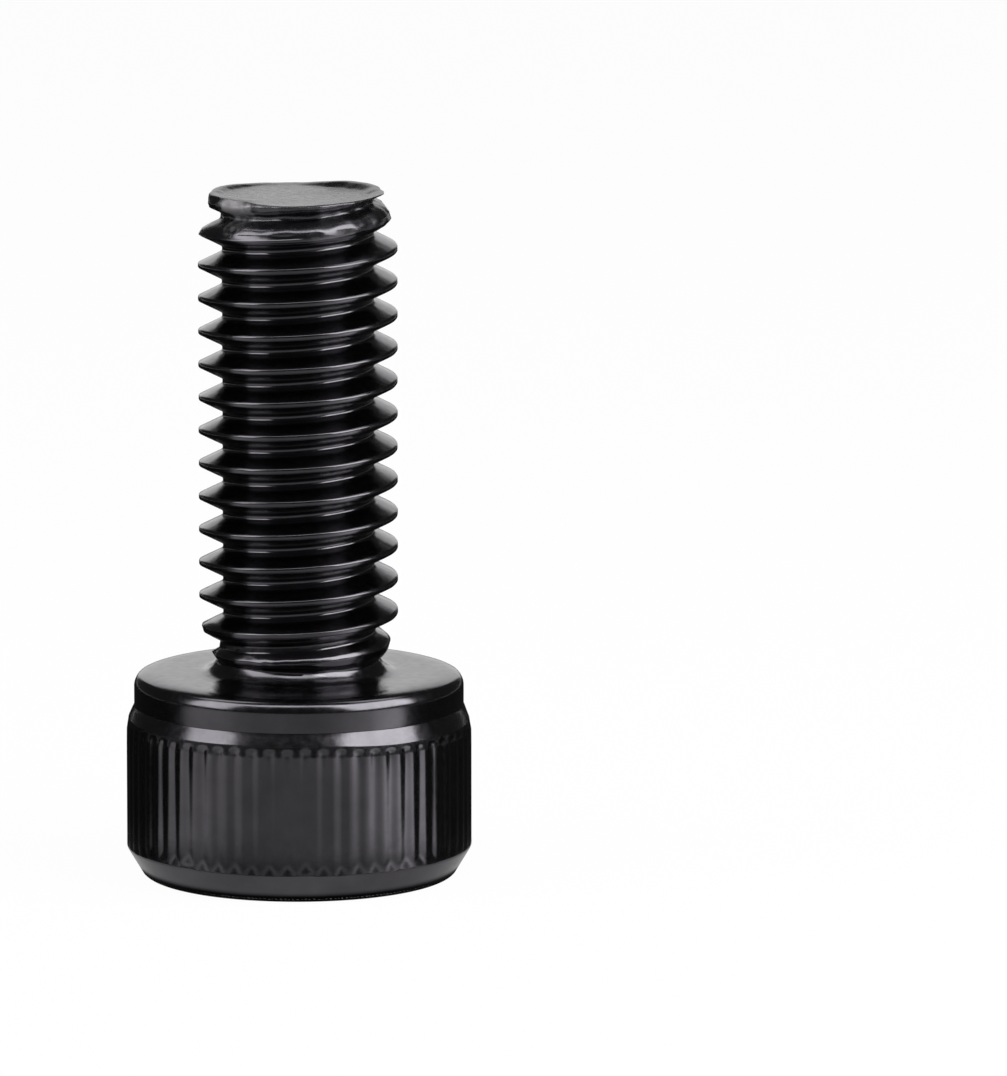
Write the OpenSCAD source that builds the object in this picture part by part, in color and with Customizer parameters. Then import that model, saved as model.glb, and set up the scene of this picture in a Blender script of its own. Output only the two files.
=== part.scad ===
// Hex socket cap screw, M5 x 0.8 x 12, threaded to the head, with a knurled head.
// The screw stands on the end of its head. The origin is the centre of that end face
// and +Z runs up along the shank to its tip.

/* [Thread] */
// Diameter over the thread crests, inside the 6g limits of M5
major_d = 4.84; // [4.8:0.01:5]
// Rise of the thread in one turn
pitch = 0.8; // [0.7:0.05:0.9]
// Included angle of the thread's two flanks
flank_angle = 60; // [55:1:62]
// Width of the flat along the crest
crest_flat = 0.09; // [0.06:0.01:0.14]
// Width of the flat at the root
root_flat = 0.05; // [0.04:0.01:0.12]
// Angle round the axis at which a crest reaches the tip plane
start_angle = 296; // [0:1:359]

/* [Shank] */
// Length from the bearing face to the tip
shank_len = 11.73; // [9:0.01:16]
// Diameter of the plain neck under the first turn
neck_d = 3.9; // [3.74:0.01:4.2]
// Plain length from the bearing face to the first sign of thread
neck_len = 0.5; // [0.3:0.01:0.6]
// Radius of the fillet where the neck meets the bearing face
neck_fillet = 0.49; // [0.2:0.01:0.55]
// Diameter of the thread's blunt start
start_d = 4.36; // [4.3:0.01:4.7]
// Length over which the thread rises out of the neck to its blunt start
start_rise = 0.05; // [0.04:0.01:0.4]
// Length over which the crests then grow to full size
runout_len = 0.79; // [0.5:0.01:1.2]
// Diameter of the crests where they meet the tip plane
tip_d = 4.14; // [4:0.01:4.4]
// Length over which the crests grow to full size behind the tip
lead_len = 0.96; // [0.6:0.01:1.4]
// Diameter of the shallow dish in the tip
dish_d = 3.1; // [2:0.1:3.4]
// Depth of the dish at its middle
dish_depth = 0.1; // [0.05:0.01:0.2]

/* [Head] */
// Height of the head from its end face to the bearing face
head_h = 4.92; // [4.5:0.01:5.2]
// Diameter over the ridges of the knurl
knurl_d = 8.3; // [8.1:0.01:8.72]
// Depth of the grooves between the ridges
knurl_depth = 0.06; // [0.04:0.01:0.16]
// Number of ridges round the head
knurl_ridges = 60; // [45:1:72]
// Share of one ridge's spacing that its top takes
ridge_top_share = 0.25; // [0.1:0.05:0.5]
// Share of one ridge's spacing that the groove's floor takes
groove_floor_share = 0.1; // [0.05:0.05:0.3]
// Height of the plain lip between the grooves and the step
groove_lip = 0.04; // [0.02:0.01:0.1]
// Length over which the grooves rise to their upper ends
groove_fade = 0.26; // [0.1:0.01:0.5]
// Diameter of the plain collar above the knurl
collar_d = 7.92; // [7.7:0.01:7.95]
// Height of the collar, from the bearing face to the foot of its step
collar_h = 0.79; // [0.5:0.01:1]
// Height of the sloped step from the collar out to the knurl
step_h = 0.28; // [0.2:0.01:0.5]
// Radius of the rounded rim of the bearing face
rim_round = 0.3; // [0.1:0.01:0.35]
// Width of the bevel round the end face, measured outwards
bevel_w = 0.42; // [0.3:0.01:0.55]
// Height of the bevel, measured along the axis
bevel_h = 0.7; // [0.5:0.01:0.9]
// Radius of the edge between the bevel and the end face
end_round = 0.22; // [0.1:0.01:0.3]
// Radius of the edge between the bevel and the knurl
shoulder_round = 0.6; // [0.3:0.05:0.8]

/* [Socket] */
// Distance across the flats of the hexagon
socket_af = 4; // [3.6:0.01:4.2]
// Depth of the hexagon from the end face
socket_depth = 2.6; // [2.2:0.05:2.9]
// Diameter of the countersink at the mouth
mouth_d = 4.9; // [4.86:0.01:5.4]
// Included angle of the countersink
mouth_angle = 120; // [90:1:130]
// Diameter of the conical pit in the socket's floor
pit_d = 2.1; // [1.6:0.1:3]
// Included angle of the pit
pit_angle = 120; // [90:1:140]

/* [Hidden] */
$fn = 96;

// Reach of a cutting shape past the surface that it cuts
past = 0.2;
// Steps in one turn of the thread
turn_steps = 48;
// Flats of a hexagon
hex_sides = 6;

full_turn = 360;
half_turn = full_turn / 2;
quarter_turn = full_turn / 4;

tip_z = head_h + shank_len;
major_r = major_d / 2;
thread_depth = (pitch - crest_flat - root_flat) / 2 / tan(flank_angle / 2);
minor_r = major_r - thread_depth;
// Radius inside the thread's root at which the neck's cone ends
core_r = minor_r - past / 2;
neck_r = neck_d / 2;
start_r = start_d / 2;
start_z = head_h + neck_len + start_rise;
full_thread_z = start_z + runout_len;
tip_r = tip_d / 2;
dish_r = dish_d / 2;
// Radius of the ball whose cap is the dish
dish_ball_r = (dish_r * dish_r + dish_depth * dish_depth) / (2 * dish_depth);

knurl_r = knurl_d / 2;
collar_r = collar_d / 2;
groove_r = knurl_r - knurl_depth;
end_face_r = knurl_r - bevel_w;
bevel_angle = atan(bevel_h / bevel_w);
collar_foot_z = head_h - collar_h;
knurl_top_z = collar_foot_z - step_h;
groove_end_z = knurl_top_z - groove_lip;
// Radius at which the walls of a ridge would meet above its top
ridge_peak_r = knurl_r + knurl_depth * ridge_top_share / (1 - ridge_top_share - groove_floor_share);

socket_corner_r = socket_af / 2 / cos(half_turn / hex_sides);
mouth_r = mouth_d / 2;
pit_r = pit_d / 2;

// Point at a radius and an angle round the axis, and at a height
function on_turn(r, a, z) = [r * cos(a), r * sin(a), z];
// Unit vector at an angle in the plane
function heading(a) = [cos(a), sin(a)];

// One pitch of the thread's section, as radius and height from the crest's middle
thread_section = [
    [major_r, -crest_flat / 2],
    [major_r, crest_flat / 2],
    [minor_r, pitch / 2 - root_flat / 2],
    [minor_r, pitch / 2 + root_flat / 2]
];

// What is kept of a corner's outside when the corner is rounded off
module corner_waste(corner, edge_a, edge_b, radius) {
    half_angle = (edge_b - edge_a) / 2;
    bisector = edge_a + half_angle;
    run = radius / tan(half_angle);
    centre = corner + heading(bisector) * radius / sin(half_angle);
    difference() {
        polygon([
            corner + heading(edge_a) * run,
            centre,
            corner + heading(edge_b) * run,
            corner - heading(bisector) * radius
        ]);
        translate(centre) circle(r = radius);
    }
}

// Half section of the head and neck, with every edge that is rounded
module head_section() {
    difference() {
        union() {
            polygon([
                [0, 0],
                [end_face_r, 0],
                [knurl_r, bevel_h],
                [knurl_r, knurl_top_z],
                [collar_r, collar_foot_z],
                [collar_r, head_h],
                [neck_r, head_h],
                [neck_r, head_h + neck_len],
                [core_r, full_thread_z],
                [0, full_thread_z]
            ]);
            translate([neck_r, head_h]) square(neck_fillet);
        }
        translate([neck_r + neck_fillet, head_h + neck_fillet]) circle(r = neck_fillet);
        corner_waste([collar_r, head_h], half_turn, half_turn + quarter_turn, rim_round);
        corner_waste([end_face_r, 0], bevel_angle, half_turn, end_round);
        corner_waste([knurl_r, bevel_h], quarter_turn, half_turn + bevel_angle, shoulder_round);
    }
}

// Outline of the grooves seen along the axis, with each ridge drawn up to its peak
module knurl_outline() {
    ridge_angle = full_turn / knurl_ridges;
    floor_angle = ridge_angle * groove_floor_share / 2;
    polygon([
        for (i = [0 : knurl_ridges - 1])
            let (peak = i * ridge_angle, groove = peak + ridge_angle / 2)
                each [
                    heading(peak) * ridge_peak_r,
                    heading(groove - floor_angle) * groove_r,
                    heading(groove + floor_angle) * groove_r
                ]
    ]);
}

// What the knurling roll leaves: grooves up to their rising ends, and full metal above
module knurl_limit() {
    fade_slope = groove_fade / knurl_depth;
    linear_extrude(height = groove_end_z) knurl_outline();
    translate([0, 0, groove_end_z - groove_fade])
        cylinder(r1 = groove_r, r2 = knurl_r + past, h = groove_fade + past * fade_slope);
    translate([0, 0, groove_end_z]) cylinder(r = knurl_r + past, h = tip_z - groove_end_z);
}

// Knurled head with its neck
module head() {
    intersection() {
        rotate_extrude() head_section();
        knurl_limit();
    }
}

// Endless right-hand thread, a turn too long at both ends
module thread_stock() {
    points_a_step = len(thread_section);
    turns = ceil((shank_len - neck_len) / pitch) + 3;
    last = turns * turn_steps;
    low_z = tip_z - (turns - 1) * pitch;
    function at(step, i) = step * points_a_step + i;
    surface_points = [
        for (step = [0 : last])
            let (
                a = start_angle + full_turn * step / turn_steps,
                z = low_z + pitch * (step / turn_steps)
            )
                for (p = thread_section) on_turn(p[0], a, z + p[1])
    ];
    floor_point = len(surface_points);
    top_point = floor_point + 1;
    end_points = [[0, 0, low_z - pitch], [0, 0, low_z + (turns + 1) * pitch]];
    along = [
        for (step = [0 : last - 1], i = [0 : points_a_step - 2])
            [at(step, i), at(step, i + 1), at(step + 1, i + 1), at(step + 1, i)]
    ];
    between_turns = [
        for (step = [0 : last - turn_steps - 1])
            [
                at(step, points_a_step - 1),
                at(step + turn_steps, 0),
                at(step + turn_steps + 1, 0),
                at(step + 1, points_a_step - 1)
            ]
    ];
    floor_fan = [
        for (step = [0 : turn_steps - 1]) [at(step, 0), at(step + 1, 0), floor_point]
    ];
    top_fan = [
        for (step = [last - turn_steps : last - 1])
            [at(step + 1, points_a_step - 1), at(step, points_a_step - 1), top_point]
    ];
    floor_seam = [
        at(turn_steps, 0),
        for (i = [points_a_step - 1 : -1 : 0]) at(0, i),
        floor_point
    ];
    top_seam = [
        at(last - turn_steps, points_a_step - 1),
        for (i = [0 : points_a_step - 1]) at(last, i),
        top_point
    ];
    polyhedron(
        points = concat(surface_points, end_points),
        faces = concat(along, between_turns, floor_fan, top_fan, [floor_seam], [top_seam])
    );
}

// Thread cut to length, growing out of the neck and easing off at the tip
module thread() {
    clear_r = major_r + past;
    foot_z = head_h + neck_len - past;
    foot_r = neck_r - past * (start_r - neck_r) / start_rise;
    runout_slope = runout_len / (major_r - start_r);
    lead_slope = lead_len / (major_r - tip_r);
    intersection() {
        thread_stock();
        rotate_extrude() polygon([
            [0, foot_z],
            [foot_r, foot_z],
            [start_r, start_z],
            [clear_r, start_z + (clear_r - start_r) * runout_slope],
            [clear_r, tip_z - (clear_r - tip_r) * lead_slope],
            [tip_r, tip_z],
            [0, tip_z]
        ]);
    }
}

// Hexagonal socket with its countersunk mouth and conical pit
module socket() {
    mouth_h = mouth_r / tan(mouth_angle / 2);
    pit_h = pit_r / tan(pit_angle / 2);
    over = past / tan(mouth_angle / 2);
    translate([0, 0, -past]) cylinder(r = socket_corner_r, h = socket_depth + past, $fn = hex_sides);
    translate([0, 0, -over]) cylinder(r1 = mouth_r + past, r2 = 0, h = mouth_h + over);
    translate([0, 0, socket_depth - past]) cylinder(r = pit_r, h = past);
    translate([0, 0, socket_depth]) cylinder(r1 = pit_r, r2 = 0, h = pit_h);
}

// Shallow dish that thread rolling leaves in the tip
module tip_dish() {
    translate([0, 0, tip_z - dish_depth + dish_ball_r]) sphere(r = dish_ball_r);
}

// The whole screw
module cap_screw() {
    color("#232326")
        difference() {
            union() {
                head();
                thread();
            }
            socket();
            tip_dish();
        }
}

cap_screw();
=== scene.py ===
import math

import bmesh
import bpy
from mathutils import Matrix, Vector, noise


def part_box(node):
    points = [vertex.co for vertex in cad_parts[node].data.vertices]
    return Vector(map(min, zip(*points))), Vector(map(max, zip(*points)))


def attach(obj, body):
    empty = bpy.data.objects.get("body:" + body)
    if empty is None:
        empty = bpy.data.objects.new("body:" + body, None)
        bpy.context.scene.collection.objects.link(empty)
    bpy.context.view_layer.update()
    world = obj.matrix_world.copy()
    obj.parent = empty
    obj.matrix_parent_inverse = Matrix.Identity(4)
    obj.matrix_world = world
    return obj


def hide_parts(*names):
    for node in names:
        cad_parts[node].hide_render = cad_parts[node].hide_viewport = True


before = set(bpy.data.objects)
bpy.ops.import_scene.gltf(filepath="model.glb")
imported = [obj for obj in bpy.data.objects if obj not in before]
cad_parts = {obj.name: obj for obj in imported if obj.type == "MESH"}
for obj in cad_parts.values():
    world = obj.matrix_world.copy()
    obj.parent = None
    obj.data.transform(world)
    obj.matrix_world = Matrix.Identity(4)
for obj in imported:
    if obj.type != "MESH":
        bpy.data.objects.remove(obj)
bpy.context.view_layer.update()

# Sizes of the screw in millimetres; the tip's height is read from model.glb
MM = 0.001
TIP_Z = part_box("cap_screw")[1][2] / MM
HEAD_H = 4.92

# Thread: crests and roots as rolled, blunt where they start and where they end
PITCH = 0.8
MAJOR_R = 2.385
MINOR_R = 1.81
CREST_HALF = 0.052
ROOT_HALF = 0.06
FLANK_SLOPE = (MAJOR_R - MINOR_R) / (PITCH / 2 - CREST_HALF - ROOT_HALF)
START_TURN = 296 / 360
START_R = 2.12
START_Z = 5.4
FULL_Z = 6.26
# Widths over which the thread's surfaces round into each other
CREST_ROUND = 0.03
ROOT_ROUND = 0.05
START_ROUND = 0.05
LIMIT_ROUND = 0.04

# Neck under the thread
NECK_R = 1.92
NECK_LEN = 0.3
NECK_FILLET = 0.52
NECK_TAPER = 0.16

# Waves and rougher spots that rolling left on the thread
BROAD_WAVE = 0.012
SHORT_WAVE = 0.006
TIP_ROUGH = 0.06
TIP_GRAIN = 0.045
START_GRAIN = 0.03
# Heights over which the rougher metal comes and goes, at the thread's start and below the tip
START_COMES = (5.2, 5.35)
START_GOES = (5.4, 5.75)
TIP_COMES = (TIP_Z - 1.3, TIP_Z - 0.5)

# Tip: its blunt first turn, and the rolled lip round its face
TIP_R = 2.1
BLUNT_LEN = 0.9
BLUNT_SLOPE = 0.14
LEAD_SLOPE = 0.55
LIP_HEIGHT = 0.15
LIP_HIGH_AT = 62
LIP_TILT = 0.42
LIP_WARP = 0.08
LIP_RIPPLE = 0.07
RIPPLE_AT = 240
# Low places of the lip: middle and half width in degrees, and depth
LIP_DIPS = ((90, 80, 0.07), (103, 45, 0.05), (15, 65, 0.035))
# Worn bevel on the lip: middle and half width in degrees, depth and slope
LIP_CUT_AT = 222
LIP_CUT_HALF = 42
LIP_CUT = 0.12
LIP_CUT_SLOPE = 0.6
LIP_ROUND = 0.02
# Face inside the lip: its depth in lip heights, its rise to the lip, and the lip's width
FACE_DEPTH = 1.15
FACE_RISE = 0.015
LIP_WIDTH = 0.11
LIP_WIDER = 0.12
LIP_WIDER_AT = 50
LIP_WIDER_HALF = 75
FACE_DENT = 0.012
FACE_GRAIN = 0.004
# Where the oxide has worn to grey on the lip's front left, its reach and its ragged edge. The grey
# there is partly a painted highlight, in place of a lamp's reflection.
WORN_SHEEN_SPOT = (-1.55, -1.4, -0.27)
WORN_SHEEN_REACH = 0.64
WORN_SHEEN_EDGE = 0.9

# Head
KNURL_R = 4.149
KNURL_TOP_R = 4.097
KNURL_TOP_Z = 3.85
COLLAR_R = 3.96
COLLAR_FOOT_Z = 4.13
STEP_DROOP = 0.09
LEFT_DROOP_SHARE = 0.2
DROOP_END_Z = 3.3
# Shares of the way from the front to a side between which the step droops
DROOP_SIDES = (0.1, 0.65)
BEVEL_W = 0.42
BEVEL_H = 0.7
END_ROUND = 0.22
SHOULDER_ROUND = 0.16
COLLAR_FOOT_ROUND = 0.05
KNURL_TOP_ROUND = 0.03
# Rounded rim of the bearing face, as radius and height
RIM = ((3.2, 4.92), (3.45, 4.92), (3.6, 4.905), (3.72, 4.885), (3.8, 4.86), (3.85, 4.835),
       (3.885, 4.8), (3.91, 4.76), (3.932, 4.715), (3.95, 4.665), (3.96, 4.61), (3.96, 4.55))

# Grooves of the knurl, across in shares of a ridge's spacing
RIDGES = 60
RIDGE_R = 4.146
RIDGE_WAVE = 0.031
END_DEPTH = 0.03
END_LEN = 0.48
GROOVE_END_Z = 3.87
GROOVE_END_SLOPE = 0.36
GROOVE_END_SCATTER = 0.05
GROOVE_FOOT_Z = 0.7
GROOVE_FOOT_SLOPE = 0.14
GROOVE_FOOT_SCATTER = 0.12
# Width over which the grooves round into the plain bands
GROOVE_BLEND = 0.01

# Socket
SOCKET_AF = 4.0
SOCKET_DEPTH = 2.6
MOUTH_R = 2.45
MOUTH_SLOPE = math.tan(math.radians(60))
PIT_R = 1.05
PIT_DEPTH = PIT_R / math.tan(math.radians(60))

# Rings of the socket, as shares of the way over each of its surfaces
COUNTERSINK_SHARES = (0.06, 0.5, 0.94)
WALL_SHARES = (0.0, 0.1, 0.3, 0.5, 0.7, 0.9, 0.985)
FLOOR_SHARES = (1.0, 0.7, 0.4, 0.06)
PIT_SHARES = (0.96, 0.7, 0.4, 0.15)

# Columns of the mesh inside one ridge of the knurl, as shares of its spacing
FINE_SHARES = (0.0, 0.15, 0.28, 0.41, 0.5, 0.59, 0.72, 0.85)
COARSE_SHARES = FINE_SHARES[::2]

# Rows of the mesh inside one pitch of the thread, in millimetres from the crest
THREAD_ROWS = (-0.085, -0.058, -0.04, 0.04, 0.058, 0.085, 0.2,
               0.3, 0.33, 0.36, 0.44, 0.47, 0.5, 0.6)
# Height at which these rows start, and the neck's level rings under them
JOIN_Z = 5.2
NECK_RINGS = (5.15, 5.1, 5.05, 5.01, 4.98, 4.955, 4.94, 4.93, 4.922)
# Heights between which the knurl's rows are spaced evenly, and how many steps each has
KNURL_ROWS = ((3.5, 8), (1.25, 7), (0.78, 9))
# Radii of the rings on the bearing face and on the end face
BEARING_RINGS = (2.6, 2.9)
END_RINGS = (3.3, 2.9)
# Rings of the tip's face, as shares of the way out from the axis
TIP_SHARES = (1.0, 0.975, 0.95, 0.92, 0.89, 0.86, 0.83, 0.8, 0.76, 0.72, 0.68, 0.62, 0.55,
              0.46, 0.36, 0.25, 0.13, 0.05)

# Black oxide: its darkest and lightest grey, its roughness, and the worn and rolled places. The worn
# grey is partly a painted highlight.
OXIDE_DARK = (0.088, 0.085, 0.093)
OXIDE_LIGHT = (0.118, 0.113, 0.124)
WORN_SHEEN_GREY = (0.36, 0.35, 0.36, 1.0)
ROUGH_LOW = 0.15
ROUGH_HIGH = 0.23
WORN_SHEEN_ROUGH = 0.3
ROLLED_ROUGH = 0.08
BROAD_SCALE = 900.0
FINE_SCALE = 6000.0
NOISE_ROUGHNESS = 0.55
# Heights below the tip between which the rolled metal turns duller
ROLLED_BELOW = (1.2, 0.6)
BUMP_STRENGTH = 0.25
BUMP_HEIGHT = 0.004

# Sizes of the stage in metres
STAGE_R = 0.6
WALL_H = 0.3
LAMP_DISTANCE = 0.15
# The ground's own colour, and how much of its white is seen rather than lit
GROUND_GREY = (0.82, 0.82, 0.82, 1.0)
GLOW_SHARE = 0.97
# Half of the angle that the bright part of the backdrop takes behind the screw, in turns
REAR_HALF = 16 / 360

# Painted reflections: the card glows though it is no lamp, and only the metal sees it
# Brightness of the reflection card round the screw, by azimuth from the front in degrees,
# set so that the metal is as bright as in the photograph
PAINTED_REFLECTION_TONES = ((-180, 0.01), (-84, 0.02), (-78, 0.6), (-70, 0.7), (-45, 0.55), (-28, 0.36),
              (20, 0.36), (45, 0.8), (64, 1.5), (72, 1.35), (77, 0.03), (180, 0.01))
# Its brightness close to the head, by distance from the axis in millimetres: a painted contact shadow
# at the foot, a grey ring, then a dark ring of painted shade
PAINTED_FOOT_SHADE_TONES = ((3.87, 0.02), (3.96, 0.5), (5.8, 0.5), (6.2, 0.03), (9.4, 0.03))
# Sizes of the card in millimetres: its edges, its height, and where it turns to PAINTED_REFLECTION_TONES
CARD_INNER = 3.65
CARD_NEAR = 8.2
CARD_FAR = 9.4
CARD_OUTER = 250.0
CARD_HEIGHT = 0.01

# Lamps: name, azimuth from the front, elevation, width and height in metres, radiance
LAMPS = (
    ("key_left", -67.5, 34, 0.084, 0.118, 3.4),
    ("key_right", 64, 34, 0.136, 0.118, 5.0),
    ("front_top", 0, 58, 0.15, 0.04, 3.4),
    ("back_left", -130, 62, 0.06, 0.05, 2.0),
    ("back_right", 130, 62, 0.06, 0.05, 2.0),
)
WORLD_STRENGTH = 0.04


def smooth_min(a, b, width):
    """The lesser of two values, rounded where they cross."""
    h = max(width - abs(a - b), 0.0) / width
    return min(a, b) - h * h * width / 4


def smooth_max(a, b, width):
    """The greater of two values, rounded where they cross."""
    return -smooth_min(-a, -b, width)


def ramp(x, low, high):
    """0 below low, 1 above high, and a smooth step between."""
    t = min(max((x - low) / (high - low), 0.0), 1.0)
    return t * t * (3 - 2 * t)


def hump(turn, middle, half):
    """1 at an angle in degrees, easing to 0 at half degrees to either side."""
    off = abs((turn * 360 - middle + 180) % 360 - 180)
    return 1.0 - ramp(off, 0.0, half)


def column_turns(shares):
    """Every column's place round the axis, in turns."""
    return [(ridge + share) / RIDGES for ridge in range(RIDGES) for share in shares]


FINE = column_turns(FINE_SHARES)
COARSE = column_turns(COARSE_SHARES)


def at(r, turn, z):
    """A point at a radius, a place round the axis and a height."""
    a = turn * math.tau
    return (r * math.cos(a), r * math.sin(a), z)


def crest_distance(z, turn):
    """Height of a point above the nearest crest below or above it, from -P/2 to P/2."""
    rise = (z - TIP_Z) / PITCH - (turn - START_TURN)
    return (rise - round(rise)) * PITCH


def tip_lift(turn):
    """Height of the tip's rolled lip at a place round the axis, zero at its highest."""
    a = turn * math.tau
    lift = 0.5 + LIP_TILT * math.cos(a - math.radians(LIP_HIGH_AT)) + LIP_WARP * math.sin(2 * a + 0.6)
    lift += LIP_RIPPLE * math.sin(5 * a + 1.1) * math.cos(a - math.radians(RIPPLE_AT))
    dip = sum(depth * hump(turn, middle, half) for middle, half, depth in LIP_DIPS)
    return LIP_HEIGHT * (min(lift, 1.0) - 1.0) - dip


def neck_radius(z):
    """Radius of the neck: its fillet, then a slow taper into the thread's root."""
    rise = z - HEAD_H
    if rise > NECK_FILLET:
        return NECK_R - (rise - NECK_FILLET) * NECK_TAPER
    drop = NECK_FILLET - max(rise, 0.0)
    return NECK_R + NECK_FILLET - math.sqrt(NECK_FILLET ** 2 - drop ** 2)


def crest_limit(z):
    """Radius that the crests can't pass at a height: less near the neck and the tip."""
    rise = START_Z - HEAD_H - NECK_LEN
    foot = START_R + (z - START_Z) * (START_R - NECK_R) / rise
    grow = START_R + (z - START_Z) * (MAJOR_R - START_R) / (FULL_Z - START_Z)
    below = TIP_Z - z
    ease = TIP_R + below * BLUNT_SLOPE + max(below - BLUNT_LEN, 0.0) * LEAD_SLOPE
    return smooth_min(smooth_min(foot, grow, START_ROUND), ease, LIMIT_ROUND)


def lip_limit(z, turn):
    """Radius left by the worn bevel on the lip's front left."""
    cut = LIP_CUT * hump(turn, LIP_CUT_AT, LIP_CUT_HALF)
    return TIP_R - cut + (TIP_Z + tip_lift(turn) - z) * LIP_CUT_SLOPE


def unevenness(z, turn):
    """What the rolling left on the thread: slight waves, and rougher metal at both ends."""
    a = turn * math.tau
    spot = Vector((math.cos(a), math.sin(a), z * 0.4))
    waves = noise.noise(spot * 2.2) * BROAD_WAVE + noise.noise(spot * 7.0) * SHORT_WAVE
    grain = noise.noise(Vector((spot.x * 6, spot.y * 6, z * 5)))
    rough = noise.noise(spot * 3.1 + Vector((5, 0, 0))) * TIP_ROUGH + grain * TIP_GRAIN
    start = ramp(z, *START_COMES) * (1.0 - ramp(z, *START_GOES))
    return waves + rough * ramp(z, *TIP_COMES) + grain * START_GRAIN * start


def shank_radius(z, turn):
    """Radius of the threaded shank and its neck at a height and a place round the axis."""
    d = abs(crest_distance(z, turn))
    flank = MAJOR_R - (d - CREST_HALF) * FLANK_SLOPE
    r = smooth_max(smooth_min(flank, MAJOR_R, CREST_ROUND), MINOR_R, ROOT_ROUND)
    r = smooth_min(r, crest_limit(z), LIMIT_ROUND)
    r = smooth_min(r, lip_limit(z, turn), LIP_ROUND)
    r = smooth_max(r, neck_radius(z), LIMIT_ROUND)
    return r + min(unevenness(z, turn), MAJOR_R - r)


class Shell:
    """A closed skin made ring by ring. Every ring is a list of vertices round the axis."""

    def __init__(self):
        self.bm = bmesh.new()
        self.edge = []

    def vertex(self, point):
        return self.bm.verts.new(Vector(point) * MM)

    def grow(self, columns, point):
        """Adds a ring, given as a function of the turn, and joins it to the open edge."""
        ring = [self.vertex(point(turn)) for turn in columns]
        self.join(ring)
        self.edge = ring

    def join(self, ring):
        """Quads from the open edge to a ring that has as many columns, or twice, or half."""
        few, many = sorted((ring, self.edge), key=len)
        step = len(many) // len(few)
        for i, vert in enumerate(few):
            after = few[(i + 1) % len(few)]
            run = [many[(step * i + k) % len(many)] for k in range(step + 1)]
            if step == 1:
                self.face(vert, after, run[1], run[0])
            else:
                self.face(vert, run[1], run[0])
                self.face(vert, after, run[2], run[1])

    def close(self, point):
        """Closes the open edge with a fan to one point."""
        centre = self.vertex(point)
        for i, vert in enumerate(self.edge):
            self.face(vert, self.edge[(i + 1) % len(self.edge)], centre)

    def face(self, *verts):
        kept = list(dict.fromkeys(verts))
        if len(kept) > 2:
            self.bm.faces.new(kept)


class ThreadGrid:
    """Rows that follow the helix, pulled flat where they would leave the thread."""

    def __init__(self, shell):
        low = math.floor((JOIN_Z - TIP_Z) / PITCH) - 2
        self.rows = [(turns, row) for turns in range(low, 3) for row in THREAD_ROWS]
        self.shell = shell
        self.verts = {}

    def vert(self, i, j):
        """The vertex of row i at column j, shared where rows are pulled together."""
        turns, row = self.rows[i]
        turn = COARSE[j]
        z = TIP_Z + (turns + turn - START_TURN) * PITCH + row
        z = min(max(z, JOIN_Z), TIP_Z + tip_lift(turn) - 0.03)
        key = (j, round(z, 6))
        if key not in self.verts:
            self.verts[key] = self.shell.vertex(at(shank_radius(z, turn), turn, z))
        return self.verts[key]

    def build(self):
        last = len(COARSE) - 1
        a_pitch = len(THREAD_ROWS)
        for i in range(len(self.rows) - 1):
            for j in range(last):
                self.quad((i, j), (i, j + 1), (i + 1, j + 1), (i + 1, j))
            if i >= a_pitch:
                # The last column meets the first one a pitch up
                below = i - a_pitch
                self.quad((below, last), (i, 0), (i + 1, 0), (below + 1, last))

    def quad(self, *places):
        self.shell.face(*[self.vert(i, j) for i, j in places])

    def ring(self, i):
        """A whole row that has been pulled flat."""
        return [self.vert(i, j) for j in range(len(COARSE))]


def arc_points(centre, first, last, radius, steps):
    """Points from one direction to another on an arc of the half section."""
    points = []
    for i in range(steps + 1):
        mix = first.lerp(last, i / steps).normalized()
        points.append(tuple(centre + mix * radius))
    return points


def rounded(before, corner, after, radius, steps):
    """Points of the arc that rounds a corner of the half section."""
    p = Vector(corner)
    u = (Vector(before) - p).normalized()
    v = (Vector(after) - p).normalized()
    half = u.angle(v) / 2
    centre = p + (u + v).normalized() * radius / math.sin(half)
    run = radius / math.tan(half)
    return arc_points(centre, p + u * run - centre, p + v * run - centre, radius, steps)


def between(a, b, steps):
    """Points inside the stretch from a to b, without its ends."""
    a, b = Vector(a), Vector(b)
    return [tuple(a.lerp(b, i / steps)) for i in range(1, steps)]


def knurl_radius(z, turn):
    """Radius of the knurled outside at a height and a place round the axis."""
    share = turn * RIDGES
    groove = math.floor(share)
    end_z = GROOVE_END_Z + noise.noise(Vector((groove * 0.73, 0.5, 0.0))) * GROOVE_END_SCATTER
    foot_z = GROOVE_FOOT_Z + noise.noise(Vector((groove * 0.81, 7.5, 0.0))) * GROOVE_FOOT_SCATTER
    depth = RIDGE_WAVE + END_DEPTH * (1.0 - ramp(end_z - z, END_LEN / 3, END_LEN))
    r = RIDGE_R - depth * (1.0 - math.cos(share * math.tau)) / 2
    end = KNURL_R + (z - end_z) * GROOVE_END_SLOPE
    foot = KNURL_R + (foot_z - z) * GROOVE_FOOT_SLOPE
    return smooth_max(r, min(max(end, foot), KNURL_R), GROOVE_BLEND)


def step_droop(z, turn):
    """How much lower the knurl's upper edge runs at the sides of the head than in front."""
    right = ramp(math.cos(turn * math.tau), *DROOP_SIDES)
    left = ramp(-math.cos(turn * math.tau), *DROOP_SIDES)
    down_step = min(max((COLLAR_FOOT_Z - z) / (COLLAR_FOOT_Z - KNURL_TOP_Z), 0.0), 1.0)
    share = (right + LEFT_DROOP_SHARE * left) * down_step
    return STEP_DROOP * share * ramp(z, DROOP_END_Z, KNURL_TOP_Z)


# Corners of the head's half section, from the collar down to the end face
COLLAR_EDGE = (COLLAR_R, HEAD_H)
COLLAR_FOOT = (COLLAR_R, COLLAR_FOOT_Z)
KNURL_TOP = (KNURL_TOP_R, KNURL_TOP_Z)
SHOULDER = (KNURL_R, BEVEL_H)
END_EDGE = (KNURL_R - BEVEL_W, 0.0)


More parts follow.
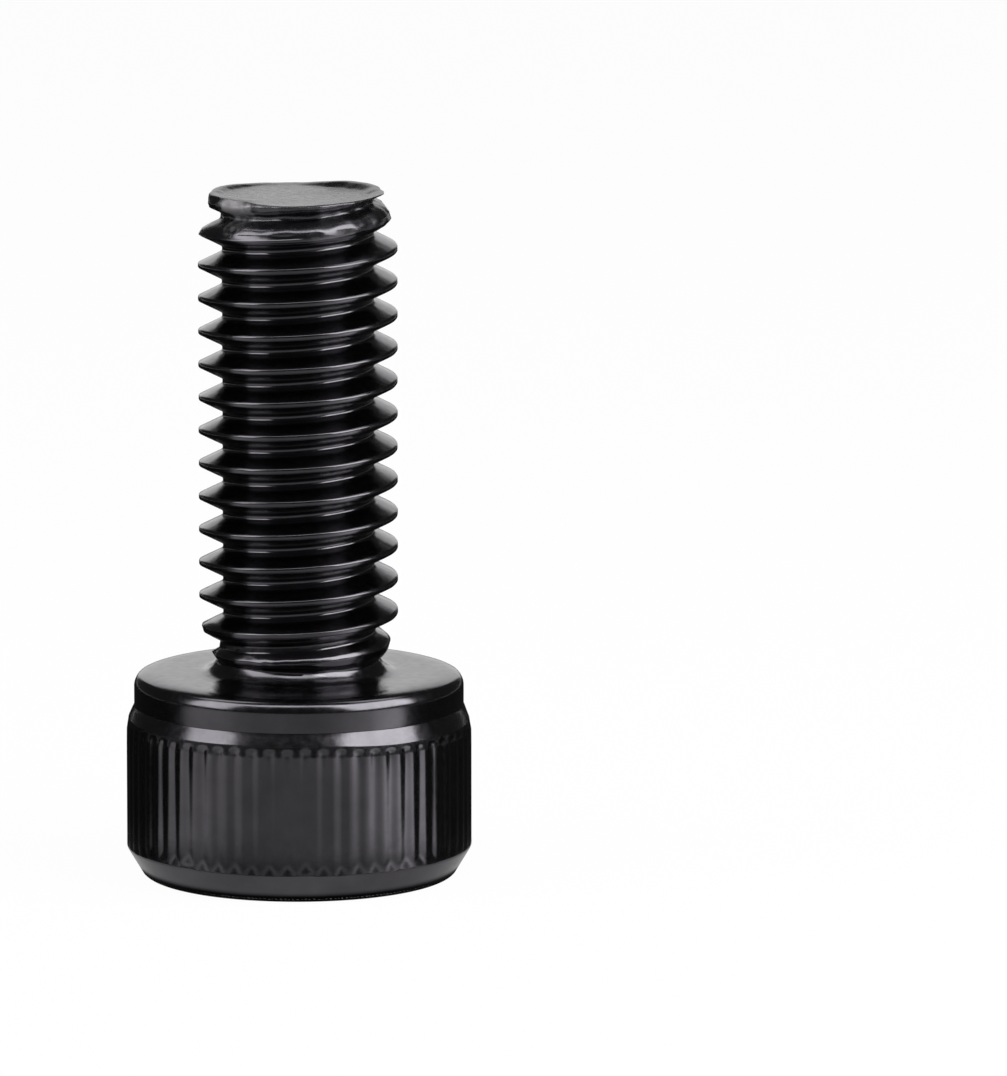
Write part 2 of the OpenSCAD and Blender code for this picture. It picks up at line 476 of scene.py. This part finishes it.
def collar_section():
    """Half section of the collar and most of the step under it."""
    points = list(RIM) + between(RIM[-1], COLLAR_FOOT, 4)
    points += rounded(COLLAR_EDGE, COLLAR_FOOT, KNURL_TOP, COLLAR_FOOT_ROUND, 3)
    return points + between(points[-1], KNURL_TOP, 4)[:2]


def knurl_section():
    """Half section from the step's lower edge to the bevel round the end face."""
    points = rounded(COLLAR_FOOT, KNURL_TOP, SHOULDER, KNURL_TOP_ROUND, 4)
    start = points[-1]
    for z, steps in KNURL_ROWS:
        points += between(start, (KNURL_R, z), steps)
        start = (KNURL_R, z)
    points += rounded(KNURL_TOP, SHOULDER, END_EDGE, SHOULDER_ROUND, 6)
    return points + between(points[-1], END_EDGE, 8)


def hex_radius(turn):
    """Distance from the axis to the hexagon's wall, with corners at whole sixths."""
    sixth = turn * 6
    off = (sixth - math.floor(sixth) - 0.5) * math.tau / 6
    return SOCKET_AF / 2 / math.cos(off)


def mouth_z(turn):
    """Height at which the countersink meets the hexagon's wall."""
    return max((MOUTH_R - hex_radius(turn)) / MOUTH_SLOPE, 0.02)


def tip_point(turn, share):
    """A point on the tip's face, at a share of the way out from the axis."""
    lift = tip_lift(turn)
    rim_r = shank_radius(TIP_Z + lift, turn) - 0.03
    r = rim_r * share
    floor = -LIP_HEIGHT * FACE_DEPTH + FACE_RISE * share * share
    width = LIP_WIDTH + LIP_WIDER * hump(turn, LIP_WIDER_AT, LIP_WIDER_HALF)
    wall = ramp(share, 1.0 - width - 0.05, 1.0 - 0.04)
    a = turn * math.tau
    spot = Vector((r * math.cos(a), r * math.sin(a), 3.0))
    dent = noise.noise(spot * 1.3) * FACE_DENT + noise.noise(spot * 4.0) * FACE_GRAIN
    z = floor + (lift - floor) * wall + dent * (1.0 - share ** 4)
    return at(r, turn, TIP_Z + min(z, 0.0))


def tip_edge(turn):
    """A point on the crest of the tip's lip."""
    z = TIP_Z + tip_lift(turn)
    return at(shank_radius(z, turn) - 0.008, turn, z - 0.01)


def add_tip(shell):
    shell.grow(COARSE, tip_edge)
    for share in TIP_SHARES:
        shell.grow(COARSE, lambda turn: tip_point(turn, share))
    shell.close(tip_point(0.0, 0.0))


def add_head(shell):
    for z in NECK_RINGS:
        shell.grow(COARSE, lambda turn: at(shank_radius(z, turn), turn, z))
    for r, z in [(r, HEAD_H) for r in BEARING_RINGS] + collar_section():
        shell.grow(COARSE, lambda turn: at(r, turn, z - step_droop(z, turn)))
    for r, z in knurl_section():
        shell.grow(FINE, lambda turn: at(min(r, knurl_radius(z, turn)), turn, z - step_droop(z, turn)))
    end_edge = rounded(SHOULDER, END_EDGE, (0.0, 0.0), END_ROUND, 8)
    for r, z in end_edge + [(r, 0.0) for r in END_RINGS]:
        shell.grow(COARSE, lambda turn: at(r, turn, z))


def wall_point(turn, share):
    """A point on the hexagon's wall, at a share of the way from its mouth to its floor."""
    top = mouth_z(turn) + 0.02
    return at(hex_radius(turn), turn, top + (SOCKET_DEPTH - top) * share)


def countersink_point(turn, share):
    """A point on the countersink, at a share of the way in from its rim."""
    return at(MOUTH_R + (hex_radius(turn) - MOUTH_R) * share, turn, mouth_z(turn) * share)


def floor_point(turn, share):
    """A point on the socket's floor, at a share of the way out from the pit to the wall."""
    return at(PIT_R + (hex_radius(turn) - 0.03 - PIT_R) * share, turn, SOCKET_DEPTH)


def add_socket(shell):
    for r, z in ((MOUTH_R + 0.05, 0.0), (MOUTH_R + 0.015, 0.006)):
        shell.grow(COARSE, lambda turn: at(r, turn, z))
    for share in COUNTERSINK_SHARES:
        shell.grow(COARSE, lambda turn: countersink_point(turn, share))
    for share in WALL_SHARES:
        shell.grow(COARSE, lambda turn: wall_point(turn, share))
    for share in FLOOR_SHARES:
        shell.grow(COARSE, lambda turn: floor_point(turn, share))
    for share in PIT_SHARES:
        shell.grow(COARSE, lambda turn: at(PIT_R * share, turn, SOCKET_DEPTH + PIT_DEPTH * (1 - share)))
    shell.close((0, 0, SOCKET_DEPTH + PIT_DEPTH * 0.97))


def build_screw():
    shell = Shell()
    grid = ThreadGrid(shell)
    grid.build()
    shell.edge = grid.ring(len(grid.rows) - 1)
    add_tip(shell)
    shell.edge = grid.ring(0)
    add_head(shell)
    add_socket(shell)
    return shell.bm


def mesh_piece(bm, name):
    """Turns a bmesh into an object of the scene."""
    mesh = bpy.data.meshes.new(name)
    bm.to_mesh(mesh)
    bm.free()
    piece = bpy.data.objects.new(name, mesh)
    bpy.context.scene.collection.objects.link(piece)
    return piece


def node_maker(mat):
    """Clears a material, and returns a function that adds nodes to it."""
    mat.use_nodes = True
    tree = mat.node_tree
    tree.nodes.clear()

    def add(kind, inputs=(), operation=None):
        """A new node whose input sockets are set to values or linked to other nodes."""
        node = tree.nodes.new(kind)
        if operation:
            node.operation = operation
        for socket, value in enumerate(inputs):
            if isinstance(value, bpy.types.NodeSocket):
                tree.links.new(value, node.inputs[socket])
            elif value is not None:
                node.inputs[socket].default_value = value
        return node

    return add


def set_ramp(node, stops):
    """Fills a colour ramp from pairs of position and colour."""
    elements = node.color_ramp.elements
    while len(elements) < len(stops):
        elements.new(0.5)
    for element, (place, colour) in zip(elements, stops):
        element.position = place
        element.color = (*colour, 1.0)


def grey_stops(stops, low, high):
    """Colour stops from pairs of value and grey, for a ramp that runs from low to high."""
    return [((value - low) / (high - low), (grey, grey, grey)) for value, grey in stops]


def black_oxide():
    mat = bpy.data.materials.new("black_oxide")
    add = node_maker(mat)
    links = mat.node_tree.links
    place = add("ShaderNodeTexCoord").outputs["Object"]
    broad = add("ShaderNodeTexNoise", [place, None, BROAD_SCALE, 4.0, NOISE_ROUGHNESS])
    fine = add("ShaderNodeTexNoise", [place, None, FINE_SCALE, 6.0, NOISE_ROUGHNESS])
    tone = add("ShaderNodeValToRGB", [broad.outputs[0]])
    set_ramp(tone, [(0.3, OXIDE_DARK), (0.7, OXIDE_LIGHT)])
    spot = Vector(WORN_SHEEN_SPOT) + Vector((0, 0, TIP_Z))
    worn_sheen = add("ShaderNodeVectorMath", [place, tuple(spot * MM)], "DISTANCE").outputs["Value"]
    ragged = add("ShaderNodeMath", [fine.outputs[0], 0.5], "SUBTRACT").outputs[0]
    worn_sheen = add("ShaderNodeMath", [ragged, WORN_SHEEN_EDGE * MM, worn_sheen], "MULTIPLY_ADD").outputs[0]
    worn_sheen = add("ShaderNodeMapRange", [worn_sheen, WORN_SHEEN_REACH * MM, WORN_SHEEN_REACH * MM / 2]).outputs[0]
    # Lighter grey where the lip is worn, partly a painted highlight
    colour = add("ShaderNodeMix")
    colour.data_type = "RGBA"
    links.new(worn_sheen, colour.inputs[0])
    links.new(tone.outputs[0], colour.inputs[6])
    colour.inputs[7].default_value = WORN_SHEEN_GREY
    height = add("ShaderNodeSeparateXYZ", [place]).outputs[2]
    low, high = [(TIP_Z - below) * MM for below in ROLLED_BELOW]
    rolled = add("ShaderNodeMapRange", [height, low, high, 0.0, ROLLED_ROUGH]).outputs[0]
    matt = add("ShaderNodeMath", [worn_sheen, WORN_SHEEN_ROUGH, rolled], "MULTIPLY_ADD").outputs[0]
    gloss = add("ShaderNodeValToRGB", [fine.outputs[0]])
    set_ramp(gloss, [(0.3, (ROUGH_LOW,) * 3), (0.7, (ROUGH_HIGH,) * 3)])
    gloss = add("ShaderNodeMath", [gloss.outputs[0], matt], "ADD")
    bump = add("ShaderNodeBump")
    bump.inputs["Strength"].default_value = BUMP_STRENGTH
    bump.inputs["Distance"].default_value = BUMP_HEIGHT * MM
    links.new(fine.outputs[0], bump.inputs["Height"])
    metal = add("ShaderNodeBsdfPrincipled")
    metal.inputs["Metallic"].default_value = 1.0
    links.new(colour.outputs[2], metal.inputs["Base Color"])
    links.new(gloss.outputs[0], metal.inputs["Roughness"])
    links.new(bump.outputs[0], metal.inputs["Normal"])
    add("ShaderNodeOutputMaterial", [metal.outputs[0]])
    return mat


def make_screw():
    bm = build_screw()
    bmesh.ops.remove_doubles(bm, verts=bm.verts, dist=1e-9)
    bmesh.ops.recalc_face_normals(bm, faces=bm.faces)
    piece = mesh_piece(bm, "screw")
    piece.data.shade_smooth()
    piece.data.materials.append(black_oxide())
    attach(piece, "root")
    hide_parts("cap_screw")


def white_ground():
    """A surface seen as white. Only what GLOW_SHARE leaves is lit, so its shadow is faint."""
    mat = bpy.data.materials.new("ground_white")
    add = node_maker(mat)
    diffuse = add("ShaderNodeBsdfDiffuse", [GROUND_GREY])
    glow = add("ShaderNodeEmission", [None, 1.0])
    path = add("ShaderNodeLightPath").outputs
    seen = add("ShaderNodeMath", [path["Is Camera Ray"], path["Is Glossy Ray"]], "MAXIMUM")
    seen = add("ShaderNodeMath", [seen.outputs[0], path["Is Transmission Ray"]], "MAXIMUM")
    share = add("ShaderNodeMath", [seen.outputs[0], GLOW_SHARE], "MULTIPLY")
    mix = add("ShaderNodeMixShader", [share.outputs[0], diffuse.outputs[0], glow.outputs[0]])
    add("ShaderNodeOutputMaterial", [mix.outputs[0]])
    return mat


def painted_reflection_tones():
    """Painted reflections and shade: a glowing card that only the metal sees, grey in front, brighter
    to both sides, dark behind, and dark round the foot.
    """
    mat = bpy.data.materials.new("painted_reflection_tones")
    add = node_maker(mat)
    links = mat.node_tree.links
    place = add("ShaderNodeNewGeometry").outputs["Position"]
    x, y = add("ShaderNodeSeparateXYZ", [place]).outputs[:2]
    front = add("ShaderNodeMath", [y, -1.0], "MULTIPLY")
    turn = add("ShaderNodeMath", [x, front.outputs[0]], "ARCTAN2")
    turn = add("ShaderNodeMapRange", [turn.outputs[0], -math.pi, math.pi])
    tone = add("ShaderNodeValToRGB", [turn.outputs[0]])
    set_ramp(tone, grey_stops(PAINTED_REFLECTION_TONES, -180, 180))
    flat = add("ShaderNodeCombineXYZ", [x, y, 0.0])
    far = add("ShaderNodeVectorMath", [flat.outputs[0]], "LENGTH").outputs["Value"]
    near = add("ShaderNodeMapRange", [far, CARD_NEAR * MM, CARD_FAR * MM])
    foot = add("ShaderNodeMapRange", [far, CARD_INNER * MM, CARD_FAR * MM])
    foot = add("ShaderNodeValToRGB", [foot.outputs[0]])
    set_ramp(foot, grey_stops(PAINTED_FOOT_SHADE_TONES, CARD_INNER, CARD_FAR))
    mixed = add("ShaderNodeMix")
    links.new(near.outputs[0], mixed.inputs["Factor"])
    links.new(foot.outputs[0], mixed.inputs["A"])
    links.new(tone.outputs[0], mixed.inputs["B"])
    glow = add("ShaderNodeEmission", [None, mixed.outputs[0]])
    add("ShaderNodeOutputMaterial", [glow.outputs[0]])
    return mat


def wall_part(name, first, last, steps):
    """A curved part of the backdrop between two turns round the stage."""
    bm = bmesh.new()
    posts = []
    for i in range(steps + 1):
        x, y, floor = at(STAGE_R, first + (last - first) * i / steps, 0.0)
        posts.append([bm.verts.new((x, y, z)) for z in (floor, WALL_H)])
    for (a, d), (b, c) in zip(posts, posts[1:]):
        bm.faces.new((a, b, c, d))
    return mesh_piece(bm, name)


def ring_card(name, inner, outer, height, steps):
    """A flat ring on the table, seen in reflections only."""
    bm = bmesh.new()
    ends = [[bm.verts.new(at(r, i / steps, height)) for r in (inner, outer)] for i in range(steps)]
    for (a, b), (d, c) in zip(ends, ends[1:] + ends[:1]):
        bm.faces.new((a, b, c, d))
    card = mesh_piece(bm, name)
    card.visible_camera = False
    card.visible_diffuse = False
    card.visible_shadow = False
    card.visible_transmission = False
    return card


def make_stage():
    bpy.ops.mesh.primitive_circle_add(vertices=96, radius=STAGE_R, fill_type="NGON")
    floor = bpy.context.object
    floor.name = "floor"
    rear = wall_part("backdrop_rear", 0.25 - REAR_HALF, 0.25 + REAR_HALF, 16)
    # Reflections pass through this part to the dim world, so the screw's sides stay dark
    around = wall_part("backdrop_around", 0.25 + REAR_HALF, 1.25 - REAR_HALF, 80)
    around.visible_glossy = False
    ground = white_ground()
    for part in (floor, rear, around):
        part.data.materials.append(ground)
    # A glowing card that paints the screw's reflections and the shade round its foot
    card = ring_card("reflection_card", CARD_INNER * MM, CARD_OUTER * MM, CARD_HEIGHT * MM, 96)
    card.data.materials.append(painted_reflection_tones())


def area_light(name, azimuth, elevation, width, height, radiance):
    """A soft panel of even brightness that faces the screw."""
    data = bpy.data.lights.new(name, "AREA")
    data.shape = "RECTANGLE"
    data.size, data.size_y = width, height
    data.energy = radiance * math.pi * width * height
    lamp = bpy.data.objects.new(name, data)
    bpy.context.scene.collection.objects.link(lamp)
    a, e = math.radians(azimuth), math.radians(elevation)
    away = Vector((math.sin(a) * math.cos(e), -math.cos(a) * math.cos(e), math.sin(e)))
    lamp.location = Vector((0, 0, TIP_Z / 2 * MM)) + away * LAMP_DISTANCE
    lamp.rotation_mode = "QUATERNION"
    lamp.rotation_quaternion = away.to_track_quat("Z", "Y")


def make_lights():
    for lamp in LAMPS:
        area_light(*lamp)
    world = bpy.data.worlds.new("studio")
    bpy.context.scene.world = world
    world.use_nodes = True
    background = world.node_tree.nodes["Background"]
    background.inputs["Color"].default_value = (1.0, 1.0, 1.0, 1.0)
    background.inputs["Strength"].default_value = WORLD_STRENGTH


# The photograph's framing: its size in pixels, its scale on the screw, and two places in it
PHOTO_W, PHOTO_H = 1007, 1076
PX_PER_MM = 41.7
AXIS_X_PX = 298.5
BEARING_Y_PX = 671
CAMERA_ELEVATION = math.radians(10)
CAMERA_DISTANCE = 0.3
SENSOR = 36.0


def make_camera():
    data = bpy.data.cameras.new("camera")
    cam = bpy.data.objects.new("camera", data)
    bpy.context.scene.collection.objects.link(cam)
    side = (PHOTO_W / 2 - AXIS_X_PX) / PX_PER_MM
    rise = (BEARING_Y_PX - PHOTO_H / 2) / PX_PER_MM / math.cos(CAMERA_ELEVATION)
    target = Vector((side, 0, HEAD_H + rise)) * MM
    back = Vector((0, -math.cos(CAMERA_ELEVATION), math.sin(CAMERA_ELEVATION)))
    cam.location = target + back * CAMERA_DISTANCE
    cam.rotation_mode = "QUATERNION"
    cam.rotation_quaternion = back.to_track_quat("Z", "Y")
    data.sensor_width = SENSOR
    data.lens = SENSOR * CAMERA_DISTANCE / (PHOTO_H / PX_PER_MM * MM)
    data.clip_start, data.clip_end = 0.01, 3.0
    bpy.context.scene.camera = cam


make_camera()
make_screw()
make_stage()
make_lights()
bpy.context.scene.view_settings.view_transform = "Standard"
